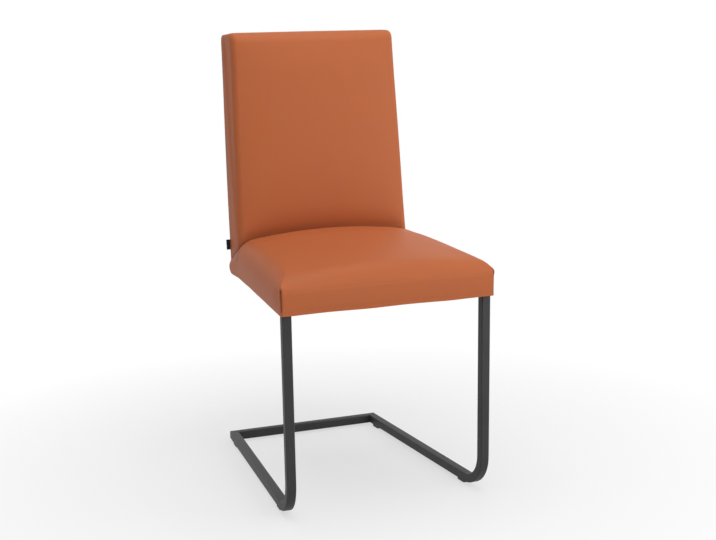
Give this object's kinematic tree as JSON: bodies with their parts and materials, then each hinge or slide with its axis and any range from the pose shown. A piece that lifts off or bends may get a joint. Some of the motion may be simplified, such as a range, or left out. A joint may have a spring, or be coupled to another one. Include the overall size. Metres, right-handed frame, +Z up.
{
  "type": "cantilever chair",
  "caption": "Cantilever dining chair with a tan leather-covered seat and tall back on a bent square-tube steel frame with floor glides.",
  "frame": {"origin": "on the floor under the middle of the chair, at the centre of its bounding box", "axes": "+X to the right seen from the front, -Y the way the chair faces, +Z up"},
  "size_m": [0.4522, 0.5644, 0.9434],
  "materials": {
    "tan_leather": "smooth semi-matt aniline-look leather",
    "powder_coated_steel": "satin powder coat, anthracite black",
    "glide_plastic": "moulded, matt",
    "upholstery_foam": "open-cell polyurethane foam",
    "polyester_wadding": "soft white fleece",
    "elastic_webbing": "woven, ribbed",
    "dust_cloth": "thin non-woven cloth",
    "birch_plywood": "sanded, unfinished",
    "hardboard": "pressed fibre, smooth face",
    "black_textile": "woven tape, plain",
    "zinc_plated_steel": "bright zinc plate",
    "beech": "planed, unfinished"
  },
  "bodies": {
    "root": {"back_bolts": "zinc_plated_steel", "back_bottom_rail": "beech", "back_cover": "tan_leather", "back_foam": "upholstery_foam", "back_lumbar_rail": "beech", "back_nuts": "zinc_plated_steel", "back_panel": "birch_plywood", "back_rear_board": "hardboard", "back_rear_cover": "tan_leather", "back_tenons": "beech", "back_top_rail": "beech", "back_wadding": "polyester_wadding", "cross_straps": "elastic_webbing", "front_batten": "beech", "front_left_glide": "glide_plastic", "front_right_glide": "glide_plastic", "front_seat_rail": "powder_coated_steel", "label_tab": "black_textile", "left_back_stile": "beech", "left_back_upright": "powder_coated_steel", "left_batten": "beech", "left_seat_rail": "powder_coated_steel", "left_side_tube": "powder_coated_steel", "long_straps": "elastic_webbing", "rear_batten": "beech", "rear_floor_bar": "powder_coated_steel", "rear_left_glide": "glide_plastic", "rear_right_glide": "glide_plastic", "rear_seat_rail": "powder_coated_steel", "right_back_stile": "beech", "right_back_upright": "powder_coated_steel", "right_batten": "beech", "right_seat_rail": "powder_coated_steel", "right_side_tube": "powder_coated_steel", "seat_bolts": "zinc_plated_steel", "seat_corner_plates": "powder_coated_steel", "seat_cover": "tan_leather", "seat_dust_cover": "dust_cloth", "seat_foam": "upholstery_foam", "seat_frame": "birch_plywood", "seat_nuts": "zinc_plated_steel", "seat_wadding": "polyester_wadding"}
  },
  "joints": []
}
